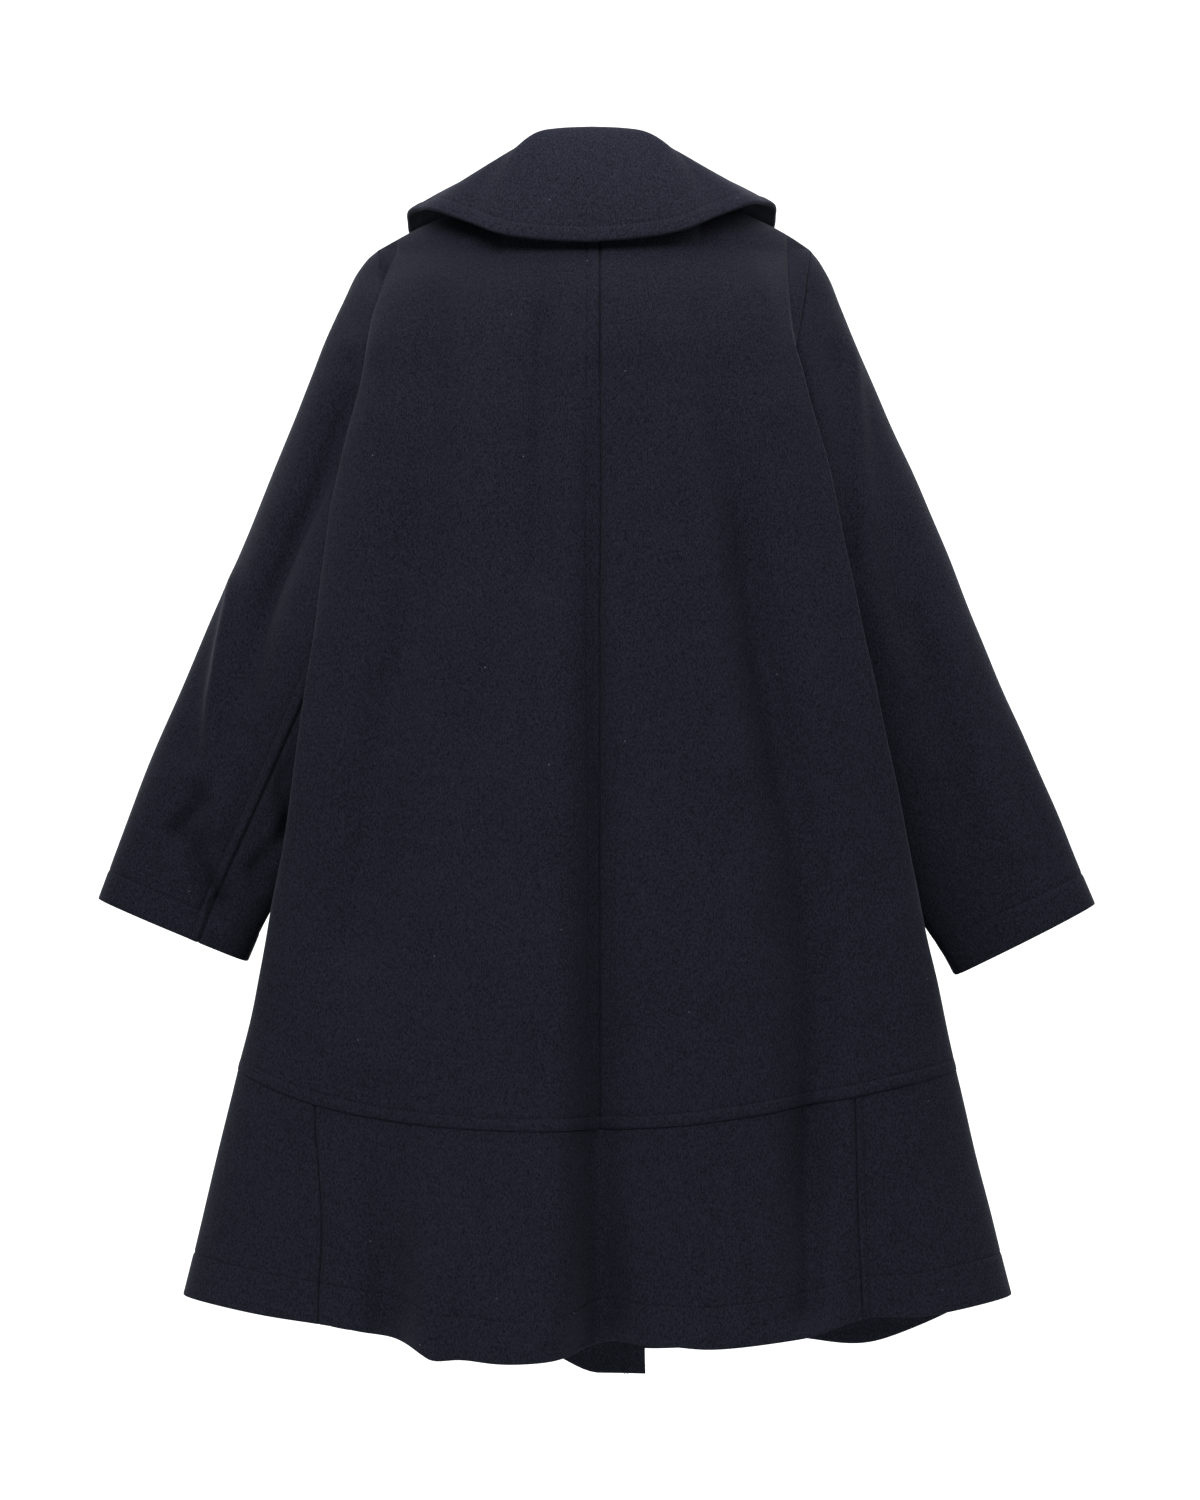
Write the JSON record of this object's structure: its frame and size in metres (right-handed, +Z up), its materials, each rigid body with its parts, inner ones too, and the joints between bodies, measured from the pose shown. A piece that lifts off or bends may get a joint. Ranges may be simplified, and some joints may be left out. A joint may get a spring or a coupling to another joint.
{
  "type": "double-breasted coat",
  "caption": "Hollow A-line navy wool coat with a broad turned-down collar, straight sleeves, a seamed hem band and a double-breasted front, filled out as worn.",
  "frame": {"origin": "between the shoulders at the height of the neck points, where the wearer holds the coat up", "axes": "+Z up, +X to the wearer's right, +Y to the front; the back faces -Y"},
  "size_m": [0.85, 0.3403, 1.07],
  "materials": {
    "wool": "matt brushed wool",
    "horn": "satin"
  },
  "bodies": {
    "root": {"back_left": "wool", "back_right": "wool", "front_left": "wool", "front_right": "wool", "sleeve_left_upper": "wool", "sleeve_left_under": "wool", "sleeve_right_upper": "wool", "sleeve_right_under": "wool", "collar": "wool", "band_back": "wool", "band_left": "wool", "band_right": "wool", "button_left_1": "horn", "button_left_2": "horn", "button_left_3": "horn", "button_right_1": "horn", "button_right_2": "horn", "button_right_3": "horn"}
  },
  "joints": []
}
